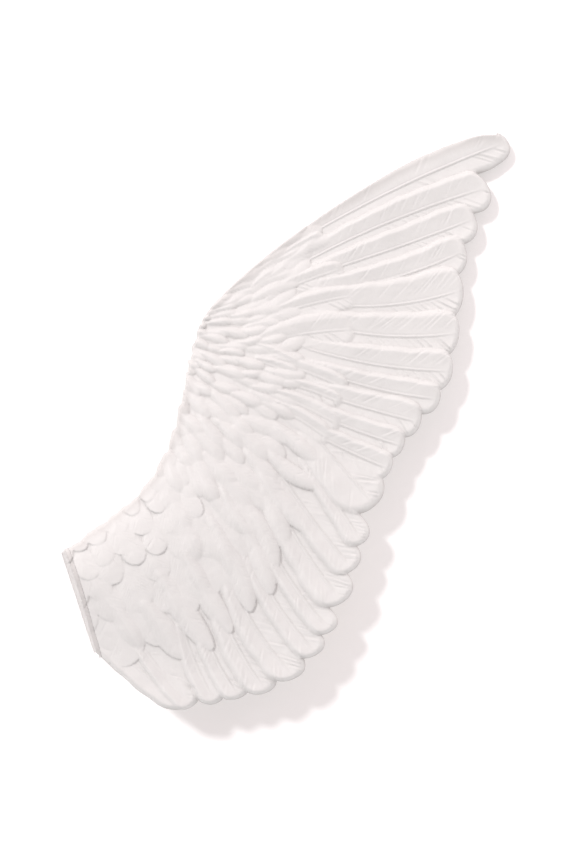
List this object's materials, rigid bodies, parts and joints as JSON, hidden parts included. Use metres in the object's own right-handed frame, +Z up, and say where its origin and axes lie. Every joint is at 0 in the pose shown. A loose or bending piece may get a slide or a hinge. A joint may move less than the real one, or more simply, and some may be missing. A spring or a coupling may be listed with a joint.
{
  "type": "moulded wall wing",
  "caption": "Rigid white moulded feathered wing with a flat root end, hung off a wall on a hooked rail and held off it by padded posts.",
  "frame": {"origin": "centre of the wall cleat's back face, on the wall plane y = 0", "axes": "+Z up, +Y into the wall, so the feathered front faces -Y; +X to the right as seen from the front"},
  "size_m": [0.766, 0.1348, 0.9777],
  "materials": {
    "cast_white": "smooth cast white, satin",
    "cast_back": "cast white, matt",
    "pale_wood": "bare planed wood",
    "bare_aluminium": "mill finish",
    "zinc_steel": "zinc plated",
    "grey_rubber": "matt moulded rubber"
  },
  "bodies": {
    "wall_side": {"wall_cleat": "bare_aluminium"},
    "wing": {"front_shell": "cast_white", "back_shell": "cast_back", "root_plate": "cast_white", "root_former": "pale_wood", "rib_1": "pale_wood", "rib_2": "pale_wood", "rib_3": "pale_wood", "spar_tube": "bare_aluminium", "hanger_block": "pale_wood", "hanger_spacer": "pale_wood", "hanger_rail": "bare_aluminium", "rail_screw_1": "zinc_steel", "rail_screw_2": "zinc_steel", "rail_screw_3": "zinc_steel", "back_screw_1": "zinc_steel", "back_screw_2": "zinc_steel", "back_screw_3": "zinc_steel", "back_screw_4": "zinc_steel", "back_screw_5": "zinc_steel", "back_screw_6": "zinc_steel", "back_screw_7": "zinc_steel", "back_screw_8": "zinc_steel", "back_screw_9": "zinc_steel", "standoff_post_1": "pale_wood", "standoff_pad_1": "grey_rubber", "standoff_screw_1": "zinc_steel", "standoff_post_2": "pale_wood", "standoff_pad_2": "grey_rubber", "standoff_screw_2": "zinc_steel"}
  },
  "joints": [
    {"name": "wing_lift", "type": "slide", "parent": "wall_side", "child": "wing", "axis": [0, 0, 1], "range_m": [0, 0.02]}
  ]
}
